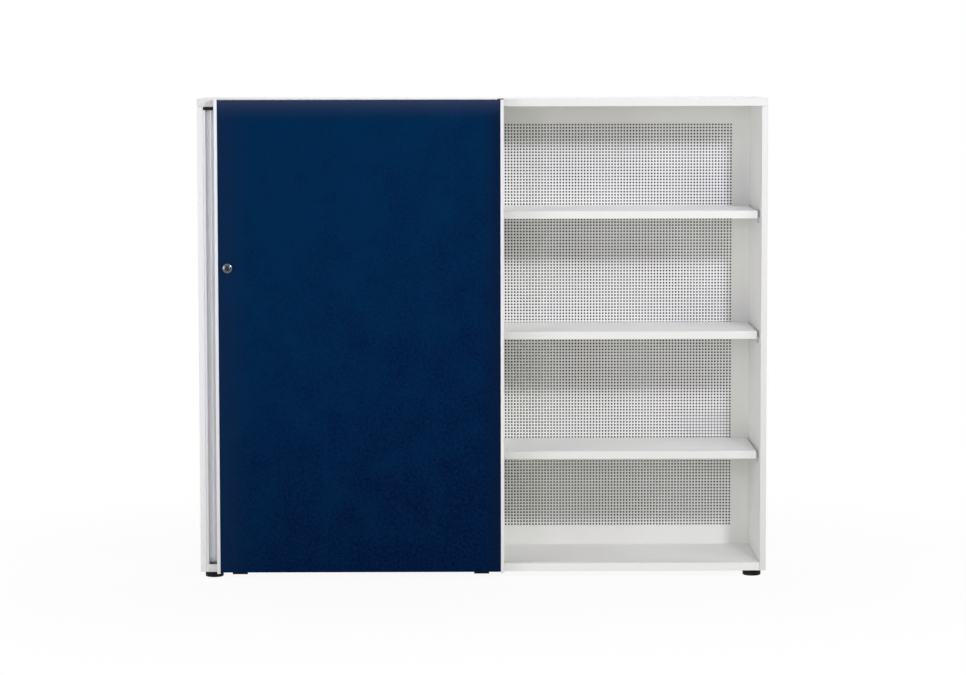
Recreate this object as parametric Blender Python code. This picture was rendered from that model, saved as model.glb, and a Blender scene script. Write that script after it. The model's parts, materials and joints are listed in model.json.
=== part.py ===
"""Highboard with two bays of shelves and one upholstered sliding door that runs in front of them.

Metres, +Z up, +X to the right, and the front faces -Y. The origin is on the floor, below the middle of the
whole object. A depth is measured backwards from the carcass's front plane, and a reach forwards from it.
"""

import math

import bmesh
import bpy
from mathutils import Matrix, Vector

# Fits
FIT = 0.0003
CUT_OVER = 0.004

# Carcass
CARCASS_WIDTH = 1.800
CARCASS_HEIGHT = 1.503
CARCASS_DEPTH = 0.440
TOP_THICKNESS = 0.025
BOTTOM_THICKNESS = 0.025
SIDE_THICKNESS = 0.019
PARTITION_THICKNESS = 0.019
PARTITION_SETBACK = 0.050
EDGE_RADIUS = 0.0012

# Back panels, held in grooves, with fleece behind them
BACK_THICKNESS = 0.004
BACK_FACE_DEPTH = 0.420
BACK_GROOVE_DEPTH = 0.007
FLEECE_THICKNESS = 0.002

# Shelves, three in each bay
SHELF_LEVELS = 3
SHELF_THICKNESS = 0.025
SHELF_SETBACK = 0.050
SHELF_END_GAP = 0.008
SHELF_REAR_GAP = 0.002
SHELF_PITCH = 0.384
MIDDLE_SHELF_HEIGHT = 0.7615

# Shelf supports and the rows of holes that take them
PEG_RADIUS = 0.0025
PIN_CHAMFER = 0.0005
PEG_LENGTH = 0.009
HOLE_RASTER = 0.032
SPARE_HOLES = 1
FRONT_SUPPORT_INSET = 0.022
REAR_SUPPORT_INSET = 0.037
SUPPORT_WIDTH = 0.012
SUPPORT_WEB = 0.004
SUPPORT_RISE = 0.003
SUPPORT_FALL = 0.015
SUPPORT_LEDGE = 0.003
SUPPORT_GUSSET = 0.004
SHELF_BEARING = 0.009

# Feet
FOOT_HEIGHT = 0.020
FOOT_DIAMETER = 0.058
FOOT_ROUNDING = 0.004
FOOT_SIDE_INSET = 0.012
FOOT_FRONT_INSET = 0.015
MIDDLE_FOOT_SETBACK = 0.120
STEM_RADIUS = 0.005
STEM_LENGTH = 0.012

# Running and guide tracks, let into the bottom and top panels
TRACK_DEPTH = 0.020
TRACK_GROOVE_WIDTH = 0.014
TRACK_GROOVE_DEPTH = 0.009
TRACK_WALL = 0.0015
TRACK_FLANGE = 0.003
TRACK_FLANGE_THICKNESS = 0.001
BUFFER_LENGTH = 0.015

# Closing profile: lip, finger recess and strike flange, extruded along the left side panel
CLOSING_WALL = 0.0018
CLOSING_LIP = 0.008
CLOSING_SETBACK = 0.0005
CLOSING_FOOT_DEPTH = 0.030
RECESS_WIDTH = 0.027
RECESS_DEPTH = 0.029
RECESS_START = 0.003
STRIKE_FLANGE = 0.0545
FLANGE_TOP_NOTCH = 0.060
FLANGE_BOTTOM_NOTCH = 0.056
RECESS_STEPS = 12
CLOSING_CAP_TOP = 0.0105
CLOSING_CAP_TOP_WIDTH = 0.0315
CLOSING_CAP_BOTTOM = 0.002
CLOSING_PLUG_WIDTH = 0.0135

# Door
DOOR_WIDTH = 0.911
DOOR_EDGE_INSET = 0.055
DOOR_GAP = 0.010
DOOR_PANEL_INSET = 0.003
CORE_THICKNESS = 0.016
PAD_THICKNESS = 0.0148
PAD_ROUNDING = 0.0035
PAD_CROWN = 0.005
PAD_CROWN_WIDTH = 0.070
PROFILE_WIDTH = 0.0105
PROFILE_WALL = 0.0016
PROFILE_REACH = 0.040
PROFILE_HOOK = 0.006
PROFILE_ROUNDING = 0.0015
CAP_TONGUE = 0.009
CAP_PLUG_DEPTH = 0.009

# Runner brackets and rollers
RUNNER_INSET = 0.0475
RUNNER_WIDTH = 0.048
BRACKET_PLATE = 0.003
RUNNER_DROP = 0.006
RUNNER_RISE = 0.050
RUNNER_CLEARANCE = 0.0035
RUNNER_CHEEK = 0.004
RUNNER_BLOCK_HEIGHT = 0.0205
ROLLER_DIAMETER = 0.028
ROLLER_WIDTH = 0.006
ROLLER_HUB_DIAMETER = 0.0112
ROLLER_RIM = 0.0017
ROLLER_WEB = 0.004
ROLLER_CHAMFER = 0.0005
ROLLER_SIDE_PLAY = 0.0005
ROLLER_END_PLAY = 0.0015
AXLE_RADIUS = 0.002

# Top guides
GUIDE_INSET = PROFILE_WIDTH + FIT
GUIDE_WIDTH = 0.045
GUIDE_PLATE_HEIGHT = 0.045
GUIDE_CLEARANCE = 0.0095
GUIDE_ARM = 0.003
GUIDE_NOSE = 0.008
GUIDE_NOSE_RISE = 0.0055

# Push lock
LOCK_INSET = 0.0402
LOCK_HEIGHT = 0.971
LOCK_TRAVEL = 0.008
ROSETTE_DIAMETER = 0.030
ROSETTE_HEIGHT = 0.0060
ROSETTE_ROUNDING = 0.0016
BARREL_RADIUS = 0.0125
BARREL_REAR_REACH = 0.0055
BARREL_END_WALL = 0.002
NUT_THICKNESS = 0.005
NUT_ACROSS_FLATS = 0.032
CYLINDER_RADIUS = 0.010
CYLINDER_LENGTH = 0.0255
CYLINDER_EDGE = 0.0008
BOLT_RADIUS = 0.004
BOLT_REACH = 0.002
PLUG_RADIUS = 0.0075
PLUG_LENGTH = 0.0116
KEYWAY_WIDTH = 0.0016
KEYWAY_HEIGHT = 0.008
KEYWAY_DEPTH = 0.006
STRIKE_CLEARANCE = 0.0008

# Facets of round pieces
HOLE_FACETS = 12
PEG_FACETS = 10
FOOT_FACETS = 24
LOCK_FACETS = 32
ROLLER_FACETS = 24
ROUNDING_STEPS = 4
PAD_CROWN_STEPS = 6
SMOOTH_ANGLE = math.radians(35)

# Places across the width
HALF_WIDTH = CARCASS_WIDTH / 2
INNER_X = HALF_WIDTH - SIDE_THICKNESS
HALF_PARTITION = PARTITION_THICKNESS / 2
BAYS = {"left": (-INNER_X, -HALF_PARTITION), "right": (HALF_PARTITION, INNER_X)}
DOOR_LEFT = -HALF_WIDTH + DOOR_EDGE_INSET
DOOR_RIGHT = DOOR_LEFT + DOOR_WIDTH
LOCK_X = DOOR_LEFT + LOCK_INSET
GUIDE_LEFT = DOOR_LEFT + GUIDE_INSET
GUIDE_RIGHT = DOOR_RIGHT - GUIDE_INSET

# Places in height
UNDERSIDE_Z = FOOT_HEIGHT
FLOOR_Z = UNDERSIDE_Z + BOTTOM_THICKNESS
TOP_Z = UNDERSIDE_Z + CARCASS_HEIGHT
CEILING_Z = TOP_Z - TOP_THICKNESS
PANEL_BOTTOM_Z = UNDERSIDE_Z + DOOR_PANEL_INSET
PANEL_TOP_Z = TOP_Z - DOOR_PANEL_INSET
LOCK_Z = UNDERSIDE_Z + LOCK_HEIGHT
MIDDLE_LEVEL = (SHELF_LEVELS - 1) / 2
SHELF_TOPS = [
    UNDERSIDE_Z + MIDDLE_SHELF_HEIGHT + (level - MIDDLE_LEVEL) * SHELF_PITCH
    for level in range(SHELF_LEVELS)
]
SUPPORT_DROP = FIT + PEG_RADIUS

# Reaches of the door's layers in front of the carcass
CORE_REAR = DOOR_GAP + PROFILE_WALL + FIT
CORE_FRONT = CORE_REAR + CORE_THICKNESS
PAD_REAR = CORE_FRONT + FIT
PAD_FRONT = PAD_REAR + PAD_THICKNESS
LOCK_CROWN_SHARE = max(0.0, 1 - (LOCK_INSET - PROFILE_WIDTH - FIT) / PAD_CROWN_WIDTH)
ROSETTE_SEAT = PAD_FRONT - PAD_CROWN * LOCK_CROWN_SHARE**2
ROSETTE_REACH = ROSETTE_SEAT + FIT + ROSETTE_HEIGHT
LOCK_REACH = ROSETTE_REACH + LOCK_TRAVEL

# The carcass's front plane, with the footprint's middle at y = 0
FRONT_Y = (LOCK_REACH - CARCASS_DEPTH) / 2

# Rolling and guiding surfaces in the tracks
TRACK_HALF = TRACK_GROOVE_WIDTH / 2 - FIT
CHANNEL_HALF = TRACK_HALF - TRACK_WALL
CHANNEL_DEPTH = TRACK_GROOVE_DEPTH - FIT - TRACK_WALL
ROLLER_Z = FLOOR_Z - CHANNEL_DEPTH + FIT + ROLLER_DIAMETER / 2


def at_depth(depth):
    """The y of a place this far behind the carcass's front plane."""
    return FRONT_Y + depth


def at_reach(reach):
    """The y of a place this far in front of the carcass's front plane."""
    return FRONT_Y - reach


def finish(name, color, roughness, metallic=0.0):
    """A material with one Principled shader."""
    material = bpy.data.materials.new(name)
    material.use_nodes = True
    shader = material.node_tree.nodes["Principled BSDF"]
    shader.inputs["Base Color"].default_value = (*color, 1.0)
    shader.inputs["Roughness"].default_value = roughness
    shader.inputs["Metallic"].default_value = metallic
    return material


def empty(name, location, parent=None):
    """A frame that moving pieces hang on. Frames are never turned, so their locations add up."""
    frame = bpy.data.objects.new(name, None)
    bpy.context.collection.objects.link(frame)
    frame.location = Vector(location) - origin_of(parent)
    frame.parent = parent
    return frame


def origin_of(frame):
    """Where a frame's origin is in the room."""
    place = Vector((0, 0, 0))
    while frame:
        place += frame.location
        frame = frame.parent
    return place


def mesh_from(name, shape, material=None):
    """A mesh from a finished bmesh, its faces turned outwards and its rounded stretches shaded smooth."""
    bmesh.ops.recalc_face_normals(shape, faces=shape.faces[:])
    mesh = bpy.data.meshes.new(name)
    shape.to_mesh(mesh)
    shape.free()
    dress(mesh, material)
    return mesh


def dress(mesh, material):
    mesh.materials.clear()
    if material:
        mesh.materials.append(material)
    mesh.shade_smooth()
    mesh.set_sharp_from_angle(angle=SMOOTH_ANGLE)


def add(name, mesh, location, parent=None, turn=(0, 0, 0)):
    """An object that shows this mesh at a place given in the room."""
    thing = bpy.data.objects.new(name, mesh)
    bpy.context.collection.objects.link(thing)
    thing.location = Vector(location) - origin_of(parent)
    thing.rotation_euler = turn
    thing.parent = parent
    return thing


def box(name, xs, ys, zs, material=None, parent=None, rounding=0.0):
    """A block between these lows and highs, with its origin in its middle."""
    lows, highs = zip(xs, ys, zs)
    size = Vector(highs) - Vector(lows)
    shape = bmesh.new()
    bmesh.ops.create_cube(shape, size=1.0, matrix=Matrix.Diagonal((*size, 1.0)))
    middle = (Vector(highs) + Vector(lows)) / 2
    thing = add(name, mesh_from(name, shape, material), middle, parent)
    if rounding:
        round_edges(thing, rounding)
    return thing


def round_edges(thing, width, segments=2):
    bevel = thing.modifiers.new("edges", "BEVEL")
    bevel.width = width
    bevel.segments = segments
    bevel.limit_method = "ANGLE"


def along_x(outline, length):
    """A bmesh with this (y, z) outline, run from x = 0 to this length."""
    return swept([(0, y, z) for y, z in outline], (length, 0, 0))


def along_y(outline, length):
    """A bmesh with this (x, z) outline, run evenly to both sides of y = 0."""
    return swept([(x, -length / 2, z) for x, z in outline], (0, length, 0))


def along_z(outline, length):
    """A bmesh with this (x, y) outline, run from z = 0 to this height."""
    return swept([(x, y, 0) for x, y in outline], (0, 0, length))


def swept(points, way):
    shape = bmesh.new()
    face = shape.faces.new([shape.verts.new(point) for point in points])
    moved = bmesh.ops.extrude_face_region(shape, geom=[face], use_keep_orig=True)
    ends = [item for item in moved["geom"] if isinstance(item, bmesh.types.BMVert)]
    bmesh.ops.translate(shape, verts=ends, vec=way)
    return shape


def turned(profile, facets, closed=False):
    """A bmesh with this (radius, height) profile turned about Z. A closed profile makes a ring."""
    shape = bmesh.new()
    verts = [shape.verts.new((radius, 0, height)) for radius, height in profile]
    pairs = list(zip(verts, verts[1:]))
    if closed:
        pairs.append((verts[-1], verts[0]))
    edges = [shape.edges.new(pair) for pair in pairs]
    bmesh.ops.spin(
        shape,
        geom=verts + edges,
        cent=(0, 0, 0),
        axis=(0, 0, 1),
        angle=math.tau,
        steps=facets,
        use_duplicate=False,
    )
    bmesh.ops.remove_doubles(shape, verts=shape.verts[:], dist=1e-6)
    return shape


def rounding(center, radius, first, last, steps=ROUNDING_STEPS):
    """Points on an arc between two angles in degrees."""
    angles = [math.radians(first + (last - first) * step / steps) for step in range(steps + 1)]
    return [(center[0] + radius * math.cos(a), center[1] + radius * math.sin(a)) for a in angles]


def rods(name, places, radius, length, facets, axis):
    """A helper of parallel cylinders with their middles at these places, along X, Y or Z."""
    quarter = math.pi / 2
    turns = {"X": Matrix.Rotation(quarter, 4, "Y"), "Y": Matrix.Rotation(quarter, 4, "X"), "Z": Matrix()}
    shape = bmesh.new()
    for place in places:
        bmesh.ops.create_cone(
            shape,
            cap_ends=True,
            segments=facets,
            radius1=radius,
            radius2=radius,
            depth=length,
            matrix=Matrix.Translation(place) @ turns[axis],
        )
    return add(name, mesh_from(name, shape), (0, 0, 0))


def clear(radius, facets):
    """The radius of a faceted hole whose flats leave the fit round a pin of this radius."""
    return (radius + FIT) / math.cos(math.pi / facets)


def combine(thing, others, operation):
    """Cuts the others from this object, or joins them to it, and removes them."""
    material = thing.data.materials[0] if thing.data.materials else None
    for other in others:
        step = thing.modifiers.new(other.name, "BOOLEAN")
        step.operation = operation
        step.solver = "EXACT"
        step.object = other
    bpy.context.view_layer.update()
    graph = bpy.context.evaluated_depsgraph_get()
    made = bpy.data.meshes.new_from_object(thing.evaluated_get(graph))
    thing.modifiers.clear()
    thing.data = made
    made.name = thing.name
    dress(made, material)
    for other in others:
        bpy.data.objects.remove(other)


def cut(thing, *cutters):
    combine(thing, cutters, "DIFFERENCE")


def join(thing, *others):
    combine(thing, others, "UNION")


def support_depths():
    """Depths of the front and rear supports of every shelf."""
    return SHELF_SETBACK + FRONT_SUPPORT_INSET, BACK_FACE_DEPTH - SHELF_REAR_GAP - REAR_SUPPORT_INSET


def peg_heights():
    """Heights of the pegs that carry the shelves, lowest first."""
    return [top - SHELF_THICKNESS - SUPPORT_DROP for top in SHELF_TOPS]


def shelf_holes(name, x, length):
    """A cutter for the holes of one face: each peg's own, and spare ones above and below it."""
    steps = range(-SPARE_HOLES, SPARE_HOLES + 1)
    places = [
        (x, at_depth(depth), height + step * HOLE_RASTER)
        for height in peg_heights()
        for step in steps
        for depth in support_depths()
    ]
    return rods(name, places, clear(PEG_RADIUS, HOLE_FACETS), length, HOLE_FACETS, "X")


def back_groove(xs, zs):
    """A cutter for a groove that takes the back panels."""
    ys = at_depth(BACK_FACE_DEPTH - FIT), at_depth(BACK_FACE_DEPTH + BACK_THICKNESS + FIT)
    return box("back_groove", xs, ys, zs)


def track_groove(xs, zs):
    """A cutter for a groove that takes a track."""
    half = TRACK_GROOVE_WIDTH / 2
    return box("track_groove", xs, (at_depth(TRACK_DEPTH - half), at_depth(TRACK_DEPTH + half)), zs)


def foot_places():
    """Name, x and y of each foot."""
    radius = FOOT_DIAMETER / 2
    side = HALF_WIDTH - FOOT_SIDE_INSET - radius
    front = at_depth(FOOT_FRONT_INSET + radius)
    rear = at_depth(CARCASS_DEPTH - FOOT_FRONT_INSET - radius)
    return [
        ("foot_front_left", -side, front),
        ("foot_front_middle", 0.0, at_depth(MIDDLE_FOOT_SETBACK + radius)),
        ("foot_front_right", side, front),
        ("foot_rear_left", -side, rear),
        ("foot_rear_middle", 0.0, rear),
        ("foot_rear_right", side, rear),
    ]


def make_top_panel(board):
    ys = at_depth(0), at_depth(CARCASS_DEPTH)
    panel = box("top_panel", (-HALF_WIDTH, HALF_WIDTH), ys, (CEILING_Z, TOP_Z), board, rounding=EDGE_RADIUS)
    below = CEILING_Z - CUT_OVER
    ends = INNER_X + BACK_GROOVE_DEPTH
    cut(
        panel,
        track_groove((-INNER_X, INNER_X), (below, CEILING_Z + TRACK_GROOVE_DEPTH)),
        back_groove((-ends, ends), (below, CEILING_Z + BACK_GROOVE_DEPTH)),
    )


def make_bottom_panel(board):
    """The bottom lies between the side panels, and the feet's stems enter it from below."""
    end = INNER_X - FIT
    ys = at_depth(0), at_depth(CARCASS_DEPTH)
    panel = box("bottom_panel", (-end, end), ys, (UNDERSIDE_Z, FLOOR_Z), board, rounding=EDGE_RADIUS)
    above = FLOOR_Z + CUT_OVER
    past = INNER_X + CUT_OVER
    hole = STEM_LENGTH + FIT + CUT_OVER
    middle = UNDERSIDE_Z - CUT_OVER + hole / 2
    stems = [(x, y, middle) for _, x, y in foot_places()]
    cut(
        panel,
        track_groove((-past, past), (FLOOR_Z - TRACK_GROOVE_DEPTH, above)),
        back_groove((-past, past), (FLOOR_Z - BACK_GROOVE_DEPTH, above)),
        rods("stem_holes", stems, clear(STEM_RADIUS, HOLE_FACETS), hole, HOLE_FACETS, "Z"),
    )


def make_side_panel(name, side, board):
    """A side panel from the carcass's underside to the top panel. Side is -1 on the left, 1 on the right."""
    xs = sorted((side * INNER_X, side * HALF_WIDTH))
    ys = at_depth(0), at_depth(CARCASS_DEPTH)
    panel = box(name, xs, ys, (UNDERSIDE_Z, CEILING_Z - FIT), board, rounding=EDGE_RADIUS)
    groove_xs = sorted((side * (INNER_X - CUT_OVER), side * (INNER_X + BACK_GROOVE_DEPTH)))
    hole = PEG_LENGTH + FIT + CUT_OVER
    cut(
        panel,
        back_groove(groove_xs, (FLOOR_Z - BACK_GROOVE_DEPTH, TOP_Z)),
        shelf_holes("peg_holes", side * (INNER_X - CUT_OVER + hole / 2), hole),
    )


def make_partition(board):
    xs = -HALF_PARTITION, HALF_PARTITION
    ys = at_depth(PARTITION_SETBACK), at_depth(CARCASS_DEPTH)
    panel = box("center_partition", xs, ys, (FLOOR_Z + FIT, CEILING_Z - FIT), board, rounding=EDGE_RADIUS)
    web = HALF_PARTITION - BACK_GROOVE_DEPTH
    past = HALF_PARTITION + CUT_OVER
    cut(
        panel,
        back_groove((-past, -web), (UNDERSIDE_Z, TOP_Z)),
        back_groove((web, past), (UNDERSIDE_Z, TOP_Z)),
        shelf_holes("peg_holes", 0.0, 2 * past),
    )


def make_backs(hardboard, fleece):
    """A back panel in each bay, let into grooves on all four sides, and the fleece behind it."""
    into = BACK_GROOVE_DEPTH - FIT
    rear = BACK_FACE_DEPTH + BACK_THICKNESS
    for side, (low, high) in BAYS.items():
        box(
            f"back_panel_{side}",
            (low - into, high + into),
            (at_depth(BACK_FACE_DEPTH), at_depth(rear)),
            (FLOOR_Z - into, CEILING_Z + into),
            hardboard,
        )
        box(
            f"acoustic_fleece_{side}",
            (low + FIT, high - FIT),
            (at_depth(rear + FIT), at_depth(rear + FIT + FLEECE_THICKNESS)),
            (FLOOR_Z + FIT, CEILING_Z - FIT),
            fleece,
        )


def make_shelves(board):
    ys = at_depth(SHELF_SETBACK), at_depth(BACK_FACE_DEPTH - SHELF_REAR_GAP)
    for side, (low, high) in BAYS.items():
        for level, top in enumerate(SHELF_TOPS, start=1):
            box(
                f"shelf_{side}_{level}",
                (low + SHELF_END_GAP, high - SHELF_END_GAP),
                ys,
                (top - SHELF_THICKNESS, top),
                board,
                rounding=EDGE_RADIUS,
            )


def support_mesh(plastic):
    """A plug-in support, its peg's axis on X: web in the shelf's end gap, ledge under the shelf, gusset."""
    seat = SUPPORT_DROP - FIT
    web = FIT + SUPPORT_WEB
    reach = SHELF_END_GAP + SHELF_BEARING
    gusset = web + SUPPORT_GUSSET / 2
    outline = [
        (FIT, SUPPORT_DROP + SUPPORT_RISE),
        (web, SUPPORT_DROP + SUPPORT_RISE),
        (web, seat),
        (reach, seat),
        (reach, seat - SUPPORT_LEDGE),
        (gusset, seat - SUPPORT_LEDGE - SUPPORT_GUSSET),
        (web, SUPPORT_DROP - SUPPORT_FALL),
        (FIT, SUPPORT_DROP - SUPPORT_FALL),
    ]
    bracket = add("support", mesh_from("support", along_y(outline, SUPPORT_WIDTH), plastic), (0, 0, 0))
    inner = FIT + SUPPORT_WEB / 2
    middle = (inner - PEG_LENGTH) / 2
    peg = rods("peg", [(middle, 0, 0)], PEG_RADIUS, inner + PEG_LENGTH, PEG_FACETS, "X")
    join(bracket, peg)
    mesh = bracket.data
    bpy.data.objects.remove(bracket)
    return mesh


def make_supports(steel):
    """Supports in the side panels, and one pin through the partition for the shelves on both its sides."""
    mesh = support_mesh(steel)
    half = HALF_PARTITION + SHELF_END_GAP + SHELF_BEARING
    blunt = PEG_RADIUS - PIN_CHAMFER
    profile = [(0, -half), (blunt, -half), (PEG_RADIUS, PIN_CHAMFER - half)]
    profile += [(radius, -height) for radius, height in reversed(profile)]
    pin = mesh_from("partition_pin", turned(profile, PEG_FACETS), steel)
    for level, height in enumerate(peg_heights(), start=1):
        for row, depth in zip(("front", "rear"), support_depths()):
            place = at_depth(depth), height
            add(f"shelf_support_left_{level}_{row}", mesh, (-INNER_X, *place))
            add(f"shelf_support_right_{level}_{row}", mesh, (INNER_X, *place), turn=(0, 0, math.pi))
            add(f"partition_pin_{level}_{row}", pin, (0, *place), turn=(0, math.pi / 2, 0))


def make_feet(plastic):
    """Round glides with a stem into the bottom panel. Their origins are on the floor."""
    radius = FOOT_DIAMETER / 2
    seat = FOOT_HEIGHT - FIT
    top = FOOT_HEIGHT + STEM_LENGTH
    profile = [(0, 0), *rounding((radius - FOOT_ROUNDING, FOOT_ROUNDING), FOOT_ROUNDING, -90, 0)]
    profile += [(radius, seat), (STEM_RADIUS, seat), (STEM_RADIUS, top), (0, top)]
    mesh = mesh_from("foot", turned(profile, FOOT_FACETS), plastic)
    for name, x, y in foot_places():
        add(name, mesh, (x, y, 0))


def track_outline(away):
    """A track's (y, z) outline from the panel's face, with its flanges on the side that away points to."""
    deep = FIT - TRACK_GROOVE_DEPTH
    brim = FIT + TRACK_FLANGE_THICKNESS
    half = [
        (TRACK_HALF, deep),
        (TRACK_HALF, FIT),
        (TRACK_HALF + TRACK_FLANGE, FIT),
        (TRACK_HALF + TRACK_FLANGE, brim),
        (CHANNEL_HALF, brim),
        (CHANNEL_HALF, deep + TRACK_WALL),
    ]
    other = [(-y, z) for y, z in reversed(half)]
    return [(y, away * z) for y, z in half + other]


def make_tracks(plastic, rubber):
    """The tracks end against the right side panel, and the buffer there stops the door's right guide."""
    right = INNER_X - FIT
    for name, away, face in (("bottom_track", 1, FLOOR_Z), ("top_track", -1, CEILING_Z)):
        shape = along_x(track_outline(away), right - GUIDE_LEFT)
        add(name, mesh_from(name, shape, plastic), (GUIDE_LEFT, at_depth(TRACK_DEPTH), face))
    half = CHANNEL_HALF - FIT
    box(
        "top_buffer",
        (right - BUFFER_LENGTH, right),
        (at_depth(TRACK_DEPTH - half), at_depth(TRACK_DEPTH + half)),
        (CEILING_Z - TRACK_FLANGE_THICKNESS, CEILING_Z + CHANNEL_DEPTH - FIT),
        rubber,
    )


def recess_arc(margin, start, sign=1):
    """The recess's half ellipse in (x, depth) from the side panel, grown outwards by a margin."""
    middle = CLOSING_LIP + RECESS_WIDTH / 2
    across = RECESS_WIDTH / 2 + margin
    deep = RECESS_DEPTH + min(margin, 0)
    points = []
    for step in range(RECESS_STEPS + 1):
        angle = math.pi * step / RECESS_STEPS
        points.append((middle - across * math.cos(angle), start + deep * math.sin(angle)))
    return points[::sign]


def closing_outline():
    """The profile's (x, depth) outline from the side panel's inner face."""
    back = RECESS_START + CLOSING_WALL
    lip_back = CLOSING_SETBACK + CLOSING_WALL
    end = CLOSING_LIP + RECESS_WIDTH + STRIKE_FLANGE
    return [
        (FIT, CLOSING_SETBACK),
        (CLOSING_LIP, CLOSING_SETBACK),
        *recess_arc(0, RECESS_START),
        (end, RECESS_START),
        (end, back),
        *recess_arc(CLOSING_WALL, back, -1),
        (CLOSING_LIP - CLOSING_WALL, lip_back),
        (FIT + CLOSING_WALL, lip_back),
        (FIT + CLOSING_WALL, CLOSING_FOOT_DEPTH),
        (FIT, CLOSING_FOOT_DEPTH),
    ]


def make_closing_profile(metal):
    """The flange ends short of the rest, clear of the door's guide and runner, and holds the strike hole."""
    bottom = FLOOR_Z + FIT
    top = CEILING_Z - CLOSING_CAP_TOP - FIT
    outline = closing_outline()
    profile = add(
        "closing_profile",
        mesh_from("closing_profile", along_z(outline, top - bottom), metal),
        (-INNER_X, at_depth(0), bottom),
    )
    flange_xs = -INNER_X + CLOSING_LIP + RECESS_WIDTH + CLOSING_WALL + FIT, 0.0
    ys = at_depth(0), at_depth(CLOSING_FOOT_DEPTH)
    strike = LOCK_X, at_depth(RECESS_START), LOCK_Z
    cut(
        profile,
        box("top_notch", flange_xs, ys, (CEILING_Z - FLANGE_TOP_NOTCH, TOP_Z)),
        box("bottom_notch", flange_xs, ys, (UNDERSIDE_Z, FLOOR_Z + FLANGE_BOTTOM_NOTCH)),
        rods("strike_hole", [strike], BOLT_RADIUS + STRIKE_CLEARANCE, 2 * CUT_OVER, 2 * HOLE_FACETS, "Y"),
    )


def make_closing_caps(plastic):
    """End caps of the profile. The top one's tongue stops the door's left guide in the track groove."""
    tongue_half = TRACK_GROOVE_WIDTH / 2 - FIT
    tongue_ys = at_depth(TRACK_DEPTH - tongue_half), at_depth(TRACK_DEPTH + tongue_half)
    left = -INNER_X + FIT
    top = box(
        "closing_cap_top",
        (left, -INNER_X + CLOSING_CAP_TOP_WIDTH),
        (at_depth(CLOSING_SETBACK), at_depth(RECESS_START + RECESS_DEPTH)),
        (CEILING_Z - CLOSING_CAP_TOP, CEILING_Z - FIT),
        plastic,
        rounding=EDGE_RADIUS / 2,
    )
    tongue_zs = CEILING_Z - BRACKET_PLATE, CEILING_Z + TRACK_GROOVE_DEPTH - FIT
    join(top, box("tongue", (left, GUIDE_LEFT - FIT), tongue_ys, tongue_zs))
    shape = along_z(recess_arc(-FIT, RECESS_START + FIT), CLOSING_CAP_BOTTOM)
    bottom = add(
        "closing_cap_bottom",
        mesh_from("closing_cap_bottom", shape, plastic),
        (-INNER_X, at_depth(0), FLOOR_Z + FIT),
    )
    middle = -INNER_X + CLOSING_LIP + RECESS_WIDTH / 2
    spread = CLOSING_PLUG_WIDTH / 2
    plug_ys = tongue_ys[0], at_depth(TRACK_DEPTH)
    plug_zs = FLOOR_Z - TRACK_GROOVE_DEPTH + FIT, FLOOR_Z + CLOSING_CAP_BOTTOM / 2
    join(bottom, box("plug", (middle - spread, middle + spread), plug_ys, plug_zs))


def profile_outline():
    """An edge profile's (x, reach) outline: x runs inwards from the door's edge."""
    width, wall, arc = PROFILE_WIDTH, PROFILE_WALL, PROFILE_ROUNDING
    web = PAD_REAR + wall
    hook = PROFILE_REACH - PROFILE_HOOK
    return [
        (0, DOOR_GAP),
        *rounding((arc, PROFILE_REACH - arc), arc, 180, 90, 3),
        *rounding((width - arc, PROFILE_REACH - arc), arc, 90, 0, 3),
        (width, hook),
        (width - wall, hook),
        (width - wall, PROFILE_REACH - wall),
        (wall, PROFILE_REACH - wall),
        (wall, web),
        (width, web),
        (width, PAD_REAR),
        (wall, PAD_REAR),
        (wall, DOOR_GAP + wall),
        (width, DOOR_GAP + wall),
        (width, DOOR_GAP),
    ]


def make_edge_profiles(metal, plastic, door):
    """The profiles hold the board's edges. The right one ends under a cap that covers the pad too."""
    cap = DOOR_PANEL_INSET - FIT
    for name, edge, inwards, height in (
        ("edge_profile_left", DOOR_LEFT, 1, CARCASS_HEIGHT),
        ("edge_profile_right", DOOR_RIGHT, -1, CARCASS_HEIGHT - cap - FIT),
    ):
        outline = [(inwards * x, -reach) for x, reach in profile_outline()]
        shape = along_z(outline, height)
        add(name, mesh_from(name, shape, metal), (edge, at_depth(0), UNDERSIDE_Z), door)
    inner = DOOR_RIGHT - PROFILE_WIDTH
    lid = box(
        "door_end_cap",
        (inner, DOOR_RIGHT),
        (at_reach(PROFILE_REACH), at_reach(DOOR_GAP)),
        (TOP_Z - cap, TOP_Z),
        plastic,
        door,
        rounding=EDGE_RADIUS / 2,
    )
    web = PAD_REAR + PROFILE_WALL
    pad_ys = at_reach(PAD_FRONT - PROFILE_WALL), at_reach(web)
    plug_xs = inner + PROFILE_WALL + FIT, DOOR_RIGHT - PROFILE_WALL - FIT
    plug_ys = at_reach(PROFILE_REACH - PROFILE_WALL - FIT), at_reach(web + FIT)
    join(
        lid,
        box("tongue", (inner - CAP_TONGUE, inner + PROFILE_WALL), pad_ys, (TOP_Z - cap, TOP_Z)),
        box("plug", plug_xs, plug_ys, (TOP_Z - CAP_PLUG_DEPTH, TOP_Z - cap / 2)),
    )


def lock_hole(first, last):
    """A cutter for the barrel's hole between two reaches."""
    place = LOCK_X, at_reach((first + last) / 2), LOCK_Z
    radius = clear(BARREL_RADIUS, LOCK_FACETS)
    return rods("lock_hole", [place], radius, last - first + 2 * CUT_OVER, LOCK_FACETS, "Y")


def make_door_core(board, door):
    side = PROFILE_WALL + FIT
    core = box(
        "door_core",
        (DOOR_LEFT + side, DOOR_RIGHT - side),
        (at_reach(CORE_FRONT), at_reach(CORE_REAR)),
        (PANEL_BOTTOM_Z, PANEL_TOP_Z),
        board,
        door,
    )
    cut(core, lock_hole(CORE_REAR, CORE_FRONT))


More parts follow.
